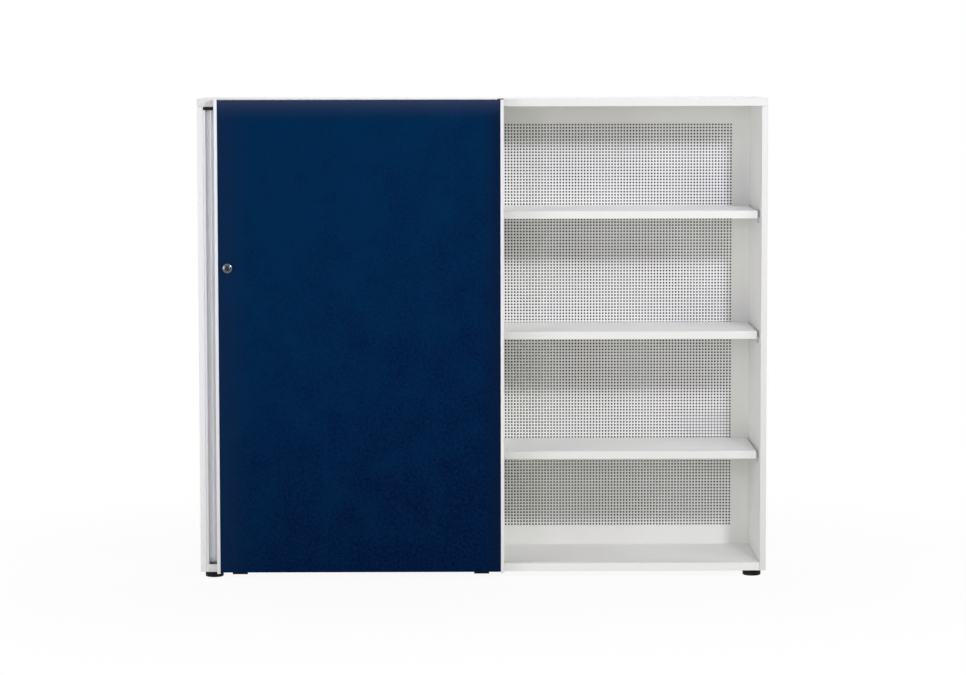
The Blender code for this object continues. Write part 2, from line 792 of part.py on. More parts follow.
def pad_rise(distance):
    """How full the pad is at this distance from an edge: its rolled edge and its crown, each from 0 to 1."""
    roll = math.sqrt(1 - (1 - min(distance / PAD_ROUNDING, 1)) ** 2)
    crown = 1 - (1 - min(distance / PAD_CROWN_WIDTH, 1)) ** 2
    return roll, crown


def pad_lines(size):
    """Places across a pad of this size, close together along the rolled edges and wider over the crown."""
    rolled = [
        PAD_ROUNDING * (1 - math.cos(math.pi / 2 * step / ROUNDING_STEPS))
        for step in range(ROUNDING_STEPS + 1)
    ]
    crowned = [
        PAD_ROUNDING + (PAD_CROWN_WIDTH - PAD_ROUNDING) * (step / PAD_CROWN_STEPS) ** 1.5
        for step in range(1, PAD_CROWN_STEPS + 1)
    ]
    half = rolled + crowned
    return half + [size - place for place in reversed(half)]


def make_fabric_panel(fabric, door):
    """The upholstered pad between the edge profiles: rolled edges, and a low crown that fades out inwards."""
    left = DOOR_LEFT + PROFILE_WIDTH + FIT
    right = DOOR_RIGHT - PROFILE_WIDTH - FIT
    width, height = right - left, PANEL_TOP_Z - PANEL_BOTTOM_Z
    across, upwards = pad_lines(width), pad_lines(height)
    edge = PAD_THICKNESS - PAD_ROUNDING - PAD_CROWN
    shape = bmesh.new()
    rows = []
    for z in upwards:
        row = []
        roll_z, crown_z = pad_rise(min(z, height - z))
        for x in across:
            roll_x, crown_x = pad_rise(min(x, width - x))
            rise = edge + PAD_ROUNDING * roll_x * roll_z + PAD_CROWN * crown_x * crown_z
            row.append(shape.verts.new((x, -rise, z)))
        rows.append(row)
    for low, high in zip(rows, rows[1:]):
        for a, b, c, d in zip(low, low[1:], high[1:], high):
            shape.faces.new((a, b, c, d))
    rim = [item for item in shape.edges if item.is_boundary]
    sides = bmesh.ops.extrude_edge_only(shape, edges=rim)["geom"]
    for item in sides:
        if isinstance(item, bmesh.types.BMVert):
            item.co.y = 0
    bmesh.ops.holes_fill(shape, edges=[item for item in shape.edges if item.is_boundary], sides=0)
    place = left, at_reach(PAD_REAR), PANEL_BOTTOM_Z
    pad = add("fabric_panel", mesh_from("fabric_panel", shape, fabric), place, door)
    bed = clear(ROSETTE_DIAMETER / 2, LOCK_FACETS)
    bed_place = LOCK_X, at_reach(ROSETTE_SEAT + PAD_THICKNESS / 2), LOCK_Z
    cut(
        pad,
        lock_hole(PAD_REAR, PAD_FRONT),
        rods("rosette_bed", [bed_place], bed, PAD_THICKNESS, LOCK_FACETS, "Y"),
    )


def make_runner(name, left, plastic, door):
    """A bracket on the board's rear face that reaches over the bottom panel and forks round its roller."""
    rear = FIT - CORE_REAR
    plate = rear + BRACKET_PLATE
    slot_half = ROLLER_WIDTH / 2 + ROLLER_SIDE_PLAY
    end = TRACK_DEPTH + slot_half + RUNNER_CHEEK
    low = FLOOR_Z + RUNNER_CLEARANCE
    high = low + RUNNER_BLOCK_HEIGHT
    outline = [
        (rear, UNDERSIDE_Z - RUNNER_DROP),
        (plate, UNDERSIDE_Z - RUNNER_DROP),
        (plate, low),
        (end, low),
        (end, high),
        (plate, high),
        (plate, FLOOR_Z + RUNNER_RISE),
        (rear, FLOOR_Z + RUNNER_RISE),
    ]
    shape = along_x(outline, RUNNER_WIDTH)
    bracket = add(name, mesh_from(name, shape, plastic), (left, at_depth(0), 0), door)
    middle = left + RUNNER_WIDTH / 2
    slot_length = ROLLER_DIAMETER / 2 + ROLLER_END_PLAY
    cut(
        bracket,
        box(
            "roller_slot",
            (middle - slot_length, middle + slot_length),
            (at_depth(TRACK_DEPTH - slot_half), at_depth(TRACK_DEPTH + slot_half)),
            (UNDERSIDE_Z, high + CUT_OVER),
        ),
    )
    axle_length = 2 * slot_half + RUNNER_CHEEK
    axle_place = middle, at_depth(TRACK_DEPTH), ROLLER_Z
    join(bracket, rods("axle", [axle_place], AXLE_RADIUS, axle_length, PEG_FACETS, "Y"))


def roller_mesh(plastic):
    """A grooved-face wheel with its hub, web and tread, turned about Z."""
    tread = ROLLER_DIAMETER / 2
    edge = ROLLER_CHAMFER
    hub = ROLLER_HUB_DIAMETER / 2
    rim = tread - ROLLER_RIM
    half = ROLLER_WIDTH / 2
    hollow = ROLLER_WEB / 2
    face = [(clear(AXLE_RADIUS, ROLLER_FACETS), half), (hub, half), (hub + edge, hollow)]
    face += [(rim - edge, hollow), (rim, half), (tread - edge, half), (tread, half - edge)]
    other = [(radius, -height) for radius, height in reversed(face)]
    return mesh_from("roller", turned(face + other, ROLLER_FACETS, closed=True), plastic)


def make_runners(plastic, nylon, door):
    roller = roller_mesh(nylon)
    lefts = {"left": DOOR_LEFT + RUNNER_INSET, "right": DOOR_RIGHT - RUNNER_INSET - RUNNER_WIDTH}
    for side, left in lefts.items():
        make_runner(f"runner_bracket_{side}", left, plastic, door)
        place = left + RUNNER_WIDTH / 2, at_depth(TRACK_DEPTH), ROLLER_Z
        add(f"roller_{side}", roller, place, door, turn=(math.pi / 2, 0, 0))


def make_guides(plastic, door):
    """Brackets on the board's rear face, whose noses run in the top track."""
    rear = FIT - CORE_REAR
    plate = rear + BRACKET_PLATE
    near = TRACK_DEPTH - GUIDE_NOSE / 2
    far = TRACK_DEPTH + GUIDE_NOSE / 2
    arm_top = CEILING_Z - GUIDE_CLEARANCE
    arm_bottom = arm_top - GUIDE_ARM
    nose_top = CEILING_Z + GUIDE_NOSE_RISE
    outline = [
        (rear, arm_top - GUIDE_PLATE_HEIGHT),
        (plate, arm_top - GUIDE_PLATE_HEIGHT),
        (plate, arm_bottom),
        (far, arm_bottom),
        (far, nose_top),
        (near, nose_top),
        (near, arm_top),
        (rear, arm_top),
    ]
    for side, left in (("left", GUIDE_LEFT), ("right", GUIDE_RIGHT - GUIDE_WIDTH)):
        name = f"top_guide_{side}"
        add(name, mesh_from(name, along_x(outline, GUIDE_WIDTH), plastic), (left, at_depth(0), 0), door)


def make_lock(chrome, steel, dark, door):
    """A push lock. Pushed in, the cylinder's bolt enters the strike hole. The plug turns in the cylinder."""
    forwards = (math.pi / 2, 0, 0)
    place = LOCK_X, at_depth(0), LOCK_Z
    bore = clear(CYLINDER_RADIUS, LOCK_FACETS)
    bolt_hole = clear(BOLT_RADIUS, LOCK_FACETS)
    pocket_radius = clear(PLUG_RADIUS, LOCK_FACETS)
    end_wall = BARREL_REAR_REACH + BARREL_END_WALL
    rosette = ROSETTE_DIAMETER / 2
    housing = [
        (bolt_hole, BARREL_REAR_REACH),
        (BARREL_RADIUS, BARREL_REAR_REACH),
        (BARREL_RADIUS, ROSETTE_SEAT + FIT),
        (rosette, ROSETTE_SEAT + FIT),
        *rounding((rosette - ROSETTE_ROUNDING, ROSETTE_REACH - ROSETTE_ROUNDING), ROSETTE_ROUNDING, 0, 90),
        (bore, ROSETTE_REACH),
        (bore, end_wall),
        (bolt_hole, end_wall),
    ]
    mesh = mesh_from("lock_housing", turned(housing, LOCK_FACETS, True), chrome)
    add("lock_housing", mesh, place, door, forwards)
    make_lock_nut(steel, door)
    slider = empty("lock_push_axis", place, door)
    front = LOCK_REACH
    shoulder = front - CYLINDER_LENGTH
    pocket = front - PLUG_LENGTH - 2 * FIT
    edge = CYLINDER_EDGE
    cylinder = [
        (0, BOLT_REACH),
        (BOLT_RADIUS - edge, BOLT_REACH),
        (BOLT_RADIUS, BOLT_REACH + edge),
        (BOLT_RADIUS, shoulder),
        (CYLINDER_RADIUS, shoulder),
        (CYLINDER_RADIUS, front - edge),
        (CYLINDER_RADIUS - edge, front),
        (pocket_radius, front),
        (pocket_radius, pocket),
        (0, pocket),
    ]
    mesh = mesh_from("lock_cylinder", turned(cylinder, LOCK_FACETS), chrome)
    add("lock_cylinder", mesh, place, slider, forwards)
    plug_rear = pocket + FIT
    plug_front = plug_rear + PLUG_LENGTH
    plug = [(0, plug_rear), (PLUG_RADIUS, plug_rear), (PLUG_RADIUS, plug_front - edge / 2)]
    plug += [(PLUG_RADIUS - edge / 2, plug_front), (0, plug_front)]
    core = add("lock_core", mesh_from("lock_core", turned(plug, LOCK_FACETS), dark), place, slider, forwards)
    half = KEYWAY_WIDTH / 2
    ys = at_reach(plug_front + CUT_OVER), at_reach(plug_front - KEYWAY_DEPTH)
    keyway_zs = LOCK_Z - KEYWAY_HEIGHT / 2, LOCK_Z + KEYWAY_HEIGHT / 2
    cut(core, box("keyway", (LOCK_X - half, LOCK_X + half), ys, keyway_zs))


def make_lock_nut(steel, door):
    """The hexagon nut that holds the housing against the board's rear face."""
    front = CORE_REAR - FIT
    middle = LOCK_X, at_reach(front - NUT_THICKNESS / 2), LOCK_Z
    corner = NUT_ACROSS_FLATS / 2 / math.cos(math.pi / 6)
    shape = bmesh.new()
    size = {"radius1": corner, "radius2": corner, "depth": NUT_THICKNESS}
    bmesh.ops.create_cone(shape, cap_ends=True, segments=6, **size)
    nut = add("lock_nut", mesh_from("lock_nut", shape, steel), middle, door, (math.pi / 2, 0, 0))
    cut(nut, lock_hole(front - NUT_THICKNESS, front))


def make_carcass(board, hardboard, fleece, black, steel, white, metal, rubber):
    make_top_panel(board)
    make_bottom_panel(board)
    make_side_panel("side_panel_left", -1, board)
    make_side_panel("side_panel_right", 1, board)
    make_partition(board)
    make_backs(hardboard, fleece)
    make_shelves(board)
    make_supports(steel)
    make_feet(black)
    make_tracks(white, rubber)
    make_closing_profile(metal)
    make_closing_caps(black)


def make_door(board, fabric, metal, black, nylon, chrome, steel, dark):
    """The door's frame is in its lower left corner, and everything that slides with the door hangs on it."""
    door = empty("door_axis", (DOOR_LEFT, at_reach(DOOR_GAP), UNDERSIDE_Z))
    make_door_core(board, door)
    make_fabric_panel(fabric, door)
    make_edge_profiles(metal, black, door)
    make_runners(black, nylon, door)
    make_guides(black, door)
    make_lock(chrome, steel, dark, door)


def main():
    for thing in list(bpy.data.objects):
        bpy.data.objects.remove(thing, do_unlink=True)
    board = finish("white_melamine", (0.85, 0.85, 0.84), 0.45)
    hardboard = finish("white_hardboard", (0.83, 0.83, 0.82), 0.50)
    fleece = finish("black_fleece", (0.02, 0.02, 0.02), 0.95)
    black = finish("black_plastic", (0.018, 0.018, 0.018), 0.45)
    steel = finish("zinc_steel", (0.62, 0.63, 0.65), 0.35, 1.0)
    white = finish("white_plastic", (0.80, 0.80, 0.80), 0.40)
    metal = finish("white_lacquer", (0.82, 0.83, 0.86), 0.35)
    rubber = finish("black_rubber", (0.02, 0.02, 0.02), 0.80)
    fabric = finish("blue_fabric", (0.0012, 0.0194, 0.0704), 0.90)
    nylon = finish("grey_nylon", (0.55, 0.55, 0.55), 0.50)
    chrome = finish("chrome", (0.80, 0.80, 0.82), 0.12, 1.0)
    dark = finish("dark_steel", (0.10, 0.10, 0.11), 0.30, 1.0)
    make_carcass(board, hardboard, fleece, black, steel, white, metal, rubber)
    make_door(board, fabric, metal, black, nylon, chrome, steel, dark)


main()
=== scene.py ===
"""Looks of the highboard: white boards, a perforated back, and a sliding door covered in dark blue wool felt.

Metres, +Z up, the front faces -Y. Everything is placed from the frame's own pieces.
"""

import json
import math

import bmesh
import bpy
from mathutils import Matrix, Vector, noise


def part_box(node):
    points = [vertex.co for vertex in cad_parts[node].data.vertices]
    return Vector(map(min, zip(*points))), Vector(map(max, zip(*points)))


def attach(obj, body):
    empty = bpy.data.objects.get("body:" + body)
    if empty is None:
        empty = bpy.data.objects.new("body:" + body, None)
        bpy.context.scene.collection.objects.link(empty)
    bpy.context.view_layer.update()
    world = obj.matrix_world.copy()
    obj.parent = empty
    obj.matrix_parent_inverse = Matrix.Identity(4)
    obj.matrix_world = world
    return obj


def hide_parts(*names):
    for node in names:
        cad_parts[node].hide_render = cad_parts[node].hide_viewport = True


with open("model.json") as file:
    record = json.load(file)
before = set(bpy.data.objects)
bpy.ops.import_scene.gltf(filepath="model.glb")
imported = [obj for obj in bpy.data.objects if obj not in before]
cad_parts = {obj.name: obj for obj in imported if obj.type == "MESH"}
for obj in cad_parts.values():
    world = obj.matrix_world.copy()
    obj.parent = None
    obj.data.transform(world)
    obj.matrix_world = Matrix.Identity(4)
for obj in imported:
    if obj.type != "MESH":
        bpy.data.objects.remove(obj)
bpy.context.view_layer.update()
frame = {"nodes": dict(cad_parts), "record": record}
nodes = frame["nodes"]

# Places read from the frame
FRONT_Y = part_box("top_panel")[0].y
UNDERSIDE_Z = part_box("bottom_panel")[0].z
FLOOR_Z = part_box("bottom_panel")[1].z
CEILING_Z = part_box("top_panel")[0].z
INNER_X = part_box("side_panel_right")[0].x
INSET_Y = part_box("center_partition")[0].y
PAD_LOW, PAD_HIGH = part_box("fabric_panel")

# Boards: the thickness of the glued band, and between which widths the line of glue behind it fades
EDGE_BAND = 0.002
GLUE_FADE = (0.00005, 0.00025)

# Perforated backs. The first column is placed from the middle, and the first row from the underside
HOLE_PITCH = 0.010
HOLE_RADIUS = 0.0029
HOLE_COLUMNS = 76
HOLE_ROWS = 133
FIRST_COLUMN_X = 0.0676
FIRST_ROW_Z = 0.0911

# Perforated backs: how many columns of holes each of a back's parts has
BACK_PARTS = (26, 25, 25)

# Upholstery: its form
PAD_ROUNDING = 0.0035
ROLL_STEPS = 6
PAD_CROWN = 0.005
PAD_CROWN_WIDTH = 0.070
PAD_CELL = 0.006
PAD_RIPPLE = 0.00018
RIPPLE_START = 0.004
PAD_HOLE_RADIUS = 0.0129
DIMPLE_WIDTH = 0.014
DIMPLE_PLAY = 0.0002

# Upholstery: how far the painted sheen reaches in from the upper edge, and the painted sheen and shade from
# the left and the right one
TOP_SHEEN_FADE = 0.078
SIDE_SHEEN_AND_SHADE_FADE = (0.100, 0.055)

# Gap between pieces that fit together
PLAY = 0.0003

# Lock: rosette and barrel. The dome's tilts to the lock's axis, at its edge and at the bore, are in degrees
ROSETTE_HEIGHT = 0.0060
DOME_TILTS = (56, 72)
SHOULDER = 0.0006
BARREL_RADIUS = 0.0125
BORE_RIM = 0.0008
BORE_CHAMFER = 0.0005
BORE_FLOOR = 0.002

# Lock: push cylinder with its bolt
CYLINDER_RADIUS = 0.0100
CYLINDER_LENGTH = 0.0255
BOLT_RADIUS = 0.0040
BOLT_ROUNDING = 0.0008
POCKET_CHAMFER = 0.0003

# Lock: key plug, with the keyway's half width and half height, and the warding beside it
PLUG_RADIUS = 0.0075
PLUG_LENGTH = 0.0116
PLUG_ROUNDING = 0.0005
PLUG_FACE_RADIUS = 0.0060
PLUG_FACE_SLOPE = 0.0002
PLUG_FACE_DEPTH = 0.0003
KEYWAY = (0.0008, 0.004)
KEYWAY_DEPTH = 0.006
WARDING_REACH = 0.0018
WARDING_HEIGHTS = (0.0012, 0.0024)

# Closing profile, from the side panel's inner face
CLOSING_WALL = 0.0018
CLOSING_LIP = 0.008
CLOSING_SETBACK = 0.0005
RECESS_WIDTH = 0.027
RECESS_DEPTH = 0.029
RECESS_START = 0.003
LIP_ROUNDING = 0.0008
SIDE_WEB = 0.030
STRIKE_PLAY = 0.0008
FLANGE_END_TOP = 0.060
FLANGE_END_FLOOR = 0.056

# Lacquer: its share of metal flakes in the recess and on the lips, and how far in the one becomes the other,
# which is also where the painted light of the recess becomes the painted shade of the lips
RECESS_METAL = 0.6
LIP_METAL = 0.15
METAL_FADE = (0.0025, 0.0055)

# Feet. The groove under the collar is given by its corners: how deep, and how far under the carcass
FOOT_ROUNDING = 0.0045
FOOT_HOLLOW = 0.0006
FOOT_LAND = 0.004
FOOT_GROOVE = ((0.0001, 0.0052), (0.0007, 0.0048), (0.0007, 0.0042), (0.0001, 0.0038))
COLLAR_ROUNDING = 0.0008
STEM_RADIUS = 0.005

# Camera, solved from the cabinet's edges in the photograph. Its turns are in radians
CAMERA_PITCH = 0.08518
CAMERA_ROLL = -0.00163
CAMERA_YAW = -0.0071

# Camera: the photograph's width and the focal length in pixels, and the sensor's width in millimetres
IMAGE_WIDTH = 966
CAMERA_FOCAL = 3320.11
SENSOR_WIDTH = 36.0

# Camera: its place from the cabinet's middle, front and underside
CAMERA_X = -0.07442
CAMERA_DISTANCE = 10.48089
CAMERA_HEIGHT = 1.64246

# Studio: the height that the lamps aim at, and the paper floor that takes the object's shadow
LAMP_AIM = 0.76
FLOOR_REACH = 30
PAPER_COLOR = (0.92, 0.92, 0.92, 1)

# Studio: the floor's share of plain white near the middle, and the distances between which it grows to 1
PAPER_GLOW = 0.93
GLOW_FADE = (0.8, 2.2)

# Studio: the soft fill light from all sides
WORLD_LEVEL = 0.12
WORLD_COLOR = (1, 0.98, 0.88, 1)


class Shading:
    """A material's node tree, with short calls for its nodes."""

    def __init__(self, name):
        self.material = bpy.data.materials.new(name)
        self.material.use_nodes = True
        self.tree = self.material.node_tree
        self.shader = self.tree.nodes["Principled BSDF"]
        self.place = self.node("ShaderNodeTexCoord").outputs["Object"]

    def node(self, kind, links=(), **settings):
        """A new node with these settings, its inputs linked or set."""
        made = self.tree.nodes.new(kind)
        for key, value in settings.items():
            setattr(made, key, value)
        for key, value in dict(links).items():
            self.feed(made.inputs[key], value)
        return made

    def feed(self, socket, value):
        """Links an output to this input, or sets it to a value."""
        if isinstance(value, bpy.types.NodeSocket):
            self.tree.links.new(value, socket)
        else:
            socket.default_value = value

    def speckle(self, scale, detail=2.0, roughness=0.5, stretch=(1, 1, 1)):
        """Noise of this many waves a metre, about 0.5."""
        place = self.node("ShaderNodeMapping", {"Vector": self.place, "Scale": stretch}).outputs["Vector"]
        inputs = {"Vector": place, "Scale": scale, "Detail": detail, "Roughness": roughness}
        return self.node("ShaderNodeTexNoise", inputs).outputs["Fac"]

    def spread(self, value, low, high, start=0.3, end=0.7):
        """A value between two others, as the input goes from start to end."""
        inputs = {"Value": value, "From Min": start, "From Max": end, "To Min": low, "To Max": high}
        return self.node("ShaderNodeMapRange", inputs).outputs["Result"]

    def math(self, operation, first, second=0.0):
        """The result of one operation on numbers."""
        return self.node("ShaderNodeMath", {0: first, 1: second}, operation=operation).outputs[0]

    def blend(self, share, first, second):
        """A colour between two others."""
        made = self.node("ShaderNodeMix", data_type="RGBA")
        self.feed(made.inputs["Factor"], share)
        for key, value in (("A", first), ("B", second)):
            socket = [s for s in made.inputs if s.name == key and s.type == "RGBA"][0]
            self.feed(socket, (*value, 1.0) if isinstance(value, tuple) else value)
        return [s for s in made.outputs if s.type == "RGBA"][0]

    def bump(self, height, distance, strength=1.0, normal=None):
        """A normal bent by this height, on top of another one if given."""
        inputs = {"Height": height, "Distance": distance, "Strength": strength}
        if normal:
            inputs["Normal"] = normal
        return self.node("ShaderNodeBump", inputs).outputs["Normal"]

    def set(self, **values):
        """Sets the shader's inputs, their names written with underscores."""
        for key, value in values.items():
            socket = self.shader.inputs[key.replace("_", " ").title().replace("Ior", "IOR")]
            self.feed(socket, (*value, 1.0) if isinstance(value, tuple) and len(value) == 3 else value)
        return self.material


def board_material(name, front, band_light, pearl=0.25):
    """White melamine with a fine pearl grain, and a band glued on its front edge, whose lightness is painted
    shade.
    """
    shading = Shading(name)
    cloud = shading.spread(shading.speckle(1.6, 3.0), 0.0, 1.0)
    face = shading.blend(cloud, (0.886, 0.886, 0.878), (0.902, 0.902, 0.895))
    # The band on the front, its lightness painted shade that tones down the lamp-lit fronts, and the thin
    # line of glue behind it
    depth = shading.node("ShaderNodeSeparateXYZ", {0: shading.place}).outputs["Y"]
    behind = shading.math("GREATER_THAN", depth, front + EDGE_BAND)
    face = shading.blend(behind, (band_light, band_light, band_light * 0.995), face)
    off = shading.math("ABSOLUTE", shading.math("SUBTRACT", depth, front + EDGE_BAND))
    line = shading.spread(off, 1.0, 0.0, *GLUE_FADE)
    color = shading.blend(shading.math("MULTIPLY", line, 0.35), face, (0.50, 0.50, 0.49))
    grain = shading.speckle(1500, 2.0)
    rough = shading.spread(shading.speckle(420, 2.0), 0.38, 0.50)
    shading.set(sheen_weight=pearl, sheen_roughness=0.4)
    return shading.set(base_color=color, roughness=rough, normal=shading.bump(grain, 0.00003, 0.5))


def back_material():
    """Lacquered perforated board."""
    shading = Shading("perforated_white")
    cloud = shading.spread(shading.speckle(2.3, 3.0), 0.0, 1.0)
    color = shading.blend(cloud, (0.905, 0.905, 0.892), (0.920, 0.920, 0.908))
    rough = shading.spread(shading.speckle(300, 2.0), 0.45, 0.60)
    grain = shading.speckle(1100, 2.0)
    return shading.set(base_color=color, roughness=rough, normal=shading.bump(grain, 0.00004, 0.5))


def fleece_material():
    """Black felted fibres."""
    shading = Shading("black_fleece_felt")
    fibres = shading.speckle(600, 4.0, 0.7, (1, 1, 0.25))
    color = shading.blend(shading.spread(fibres, 0.0, 1.0), (0.010, 0.010, 0.011), (0.030, 0.030, 0.031))
    return shading.set(base_color=color, roughness=0.95, normal=shading.bump(fibres, 0.0003, 0.8))


def plastic_material(name, dark, light, low, high, grain=900, depth=0.00005, gloss=0.5):
    """Moulded plastic with a fine eroded grain."""
    shading = Shading(name)
    shading.set(specular_ior_level=gloss)
    cloud = shading.spread(shading.speckle(60, 3.0), 0.0, 1.0)
    rough = shading.spread(shading.speckle(250, 2.0), low, high)
    bump = shading.bump(shading.speckle(grain, 3.0), depth, 0.6)
    return shading.set(base_color=shading.blend(cloud, dark, light), roughness=rough, normal=bump)


def lacquer_material():
    """Pearl white metallic coat on aluminium, with a slight orange peel. The outer lips show fewer flakes.
    The recess is painted lighter, as painted light against the shade that falls in it, and the lips darker
    and bluer, as painted shade against the lamps that face them.
    """
    shading = Shading("powder_coat")
    depth = shading.node("ShaderNodeSeparateXYZ", {0: shading.place}).outputs["Y"]
    inside = shading.spread(depth, 0.0, 1.0, FRONT_Y + METAL_FADE[0], FRONT_Y + METAL_FADE[1])
    cloud = shading.spread(shading.speckle(4.0, 3.0), 0.0, 1.0)
    # Painted light and shade: the recess lighter, the outer lips darker and bluer
    recess = shading.blend(cloud, (0.785, 0.790, 0.798), (0.805, 0.810, 0.818))
    lip = shading.blend(cloud, (0.700, 0.715, 0.760), (0.715, 0.730, 0.775))
    rough = shading.spread(shading.speckle(300, 2.0), 0.30, 0.40)
    peel = shading.speckle(700, 1.0)
    shading.set(metallic=shading.spread(inside, LIP_METAL, RECESS_METAL, 0.0, 1.0))
    color = shading.blend(inside, lip, recess)
    return shading.set(base_color=color, roughness=rough, normal=shading.bump(peel, 0.00004, 0.6))


def metal_material(name, dark, light, low, high, stretch=(1, 1, 1), grain=1500):
    """Bare or plated metal with fine tool marks."""
    shading = Shading(name)
    marks = shading.speckle(grain, 2.0, 0.6, stretch)
    rough = shading.spread(marks, low, high)
    color = shading.blend(shading.spread(shading.speckle(120, 3.0), 0.0, 1.0), dark, light)
    bump = shading.bump(marks, 0.00001, 0.4)
    return shading.set(base_color=color, roughness=rough, normal=bump, metallic=1.0)


def felt_material():
    """Dark blue wool felt: soft mottling and matted fibres lying both ways. It is painted lighter towards the
    top and the left as painted light, with a painted sheen along the upper and left edges and painted shade
    along the right one.
    """
    shading = Shading("wool_felt")
    place = shading.node("ShaderNodeSeparateXYZ", {0: shading.place}).outputs
    height, across = place["Z"], place["X"]
    # Painted light: lighter towards the top and the left, where the lamps fall, and darker below and to the
    # right, with broad clouds
    cloud = shading.spread(shading.speckle(9.0, 4.0, 0.55), -0.3, 0.3)
    lean = shading.spread(across, 0.28, -0.20, PAD_LOW.x, PAD_HIGH.x)
    broad = shading.spread(height, 0.0, 1.0, UNDERSIDE_Z, CEILING_Z)
    broad = shading.math("ADD", shading.math("ADD", broad, lean), cloud)
    color = shading.blend(broad, (0.0010, 0.0048, 0.0273), (0.0007, 0.0183, 0.0607))
    # Fine mottling, and the highest of the fibres
    mottle = shading.spread(shading.speckle(120, 3.0, 0.6), 0.0, 1.0)
    color = shading.blend(shading.math("MULTIPLY", mottle, 0.6), color, (0.0014, 0.0232, 0.0850))
    upright = shading.speckle(520, 3.0, 0.65, (1.0, 1.0, 0.22))
    level = shading.speckle(520, 3.0, 0.65, (0.22, 1.0, 1.0))
    fibres = shading.math("MAXIMUM", upright, level)
    thread = shading.spread(fibres, 0.0, 0.40, 0.50, 0.75)
    color = shading.blend(thread, color, (0.0030, 0.0260, 0.0910))
    # Painted sheen along the left and the upper edge, and painted shade, greyer and darker, along the right
    # one
    left = shading.spread(across, 0.75, 0.0, PAD_LOW.x, PAD_LOW.x + SIDE_SHEEN_AND_SHADE_FADE[0])
    right = shading.spread(across, 0.0, 0.9, PAD_HIGH.x - SIDE_SHEEN_AND_SHADE_FADE[1], PAD_HIGH.x)
    color = shading.blend(left, color, (0.0060, 0.0195, 0.0590))
    color = shading.blend(right, color, (0.0036, 0.0110, 0.0380))
    upper = shading.math("POWER", shading.spread(height, 0.0, 1.0, PAD_HIGH.z - TOP_SHEEN_FADE, PAD_HIGH.z), 2.5)
    color = shading.blend(shading.math("MULTIPLY", upper, 0.9), color, (0.0330, 0.0490, 0.1020))
    nap = shading.bump(shading.speckle(160, 3.0, 0.6), 0.0006, 0.35)
    normal = shading.bump(fibres, 0.0004, 0.7, nap)
    shading.set(sheen_weight=0.02, sheen_roughness=0.3, sheen_tint=(0.55, 0.65, 1.0), specular_ior_level=0.0)
    return shading.set(base_color=color, roughness=0.92, normal=normal)


def make_materials():
    """All materials, by the names that the pieces use."""
    return {
        # The front bands' lightness is painted shade, darkest on the top panel and the right side panel,
        # evening out how the lamps light the fronts
        "board": board_material("melamine_front", FRONT_Y, 0.825),
        "top": board_material("melamine_top", FRONT_Y, 0.72, 0.05),
        "side": board_material("melamine_side", FRONT_Y, 0.72),
        "inner": board_material("melamine_inset", INSET_Y, 0.76, 0.34),
        "back": back_material(),
        # The holes' walls are painted near black, as painted shade
        "core": plastic_material("hole_wall_shade", (0.016, 0.014, 0.012), (0.034, 0.030, 0.026), 0.75, 0.90),
        "fleece": fleece_material(),
        "black": plastic_material("black_nylon", (0.006,) * 3, (0.012,) * 3, 0.42, 0.58, gloss=0.12),
        "white": plastic_material("white_track", (0.78,) * 3, (0.81,) * 3, 0.32, 0.45, 700, 0.00002),
        "grey": plastic_material("grey_tread", (0.48,) * 3, (0.56,) * 3, 0.40, 0.55),
        "rubber": plastic_material("rubber_stop", (0.014,) * 3, (0.024,) * 3, 0.70, 0.85, 500),
        "lacquer": lacquer_material(),
        "felt": felt_material(),
        # The chrome is painted dark, as painted shade standing in for the dark room it would reflect
        "chrome": metal_material("chrome_plate", (0.115, 0.130, 0.160), (0.140, 0.155, 0.185), 0.12, 0.17),
        "zinc": metal_material("zinc_plate", (0.42, 0.43, 0.44), (0.50, 0.51, 0.52), 0.28, 0.45),
        "plug": metal_material("dark_plug", (0.022, 0.024, 0.030), (0.036, 0.038, 0.046), 0.22, 0.36),
    }


# The look of each of the record's material slots
SLOT_LOOKS = {
    "white_melamine": "board",
    "white_hardboard": "back",
    "black_fleece": "fleece",
    "black_plastic": "black",
    "zinc_steel": "zinc",
    "white_plastic": "white",
    "white_lacquer": "lacquer",
    "black_rubber": "rubber",
    "blue_fabric": "felt",
    "grey_nylon": "grey",
    "chrome": "chrome",
    "dark_steel": "plug",
}

# Boards with a look of their own, by the start of their node's name: their front bands are painted shade of
# their own, and their sheen differs
BOARD_LOOKS = {
    "top_panel": "top",
    "side_panel_right": "side",
    "center_partition": "inner",
    "shelf_left_": "inner",
    "shelf_right_": "inner",
}


def dress_frame(looks):
    """Gives every piece of the frame its material."""
    for part in frame["record"]["subparts"]:
        name = part["node"]
        own = [look for start, look in BOARD_LOOKS.items() if name.startswith(start)]
        look = own[0] if own else SLOT_LOOKS[part["material_slot"]]
        for slot in nodes[name].material_slots:
            slot.material = looks[look]


def piece(name, mesh, look, body):
    """A new piece that rides on this body. Its place is in its mesh."""
    made = bpy.data.objects.new(name, mesh)
    bpy.context.scene.collection.objects.link(made)
    mesh.materials.clear()
    mesh.materials.append(look)
    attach(made, body)
    return made


def smooth(mesh, degrees=35):
    """Smooth shading, with a crease along edges sharper than this."""
    mesh.shade_smooth()
    mesh.set_sharp_from_angle(angle=math.radians(degrees))


def hole_ring(radius):
    """Eight corners round a hole, the first one a half step above the +X side."""
    turns = [math.radians(45 * (step + 0.5)) for step in range(8)]
    return [(radius * math.cos(turn), radius * math.sin(turn)) for turn in turns]


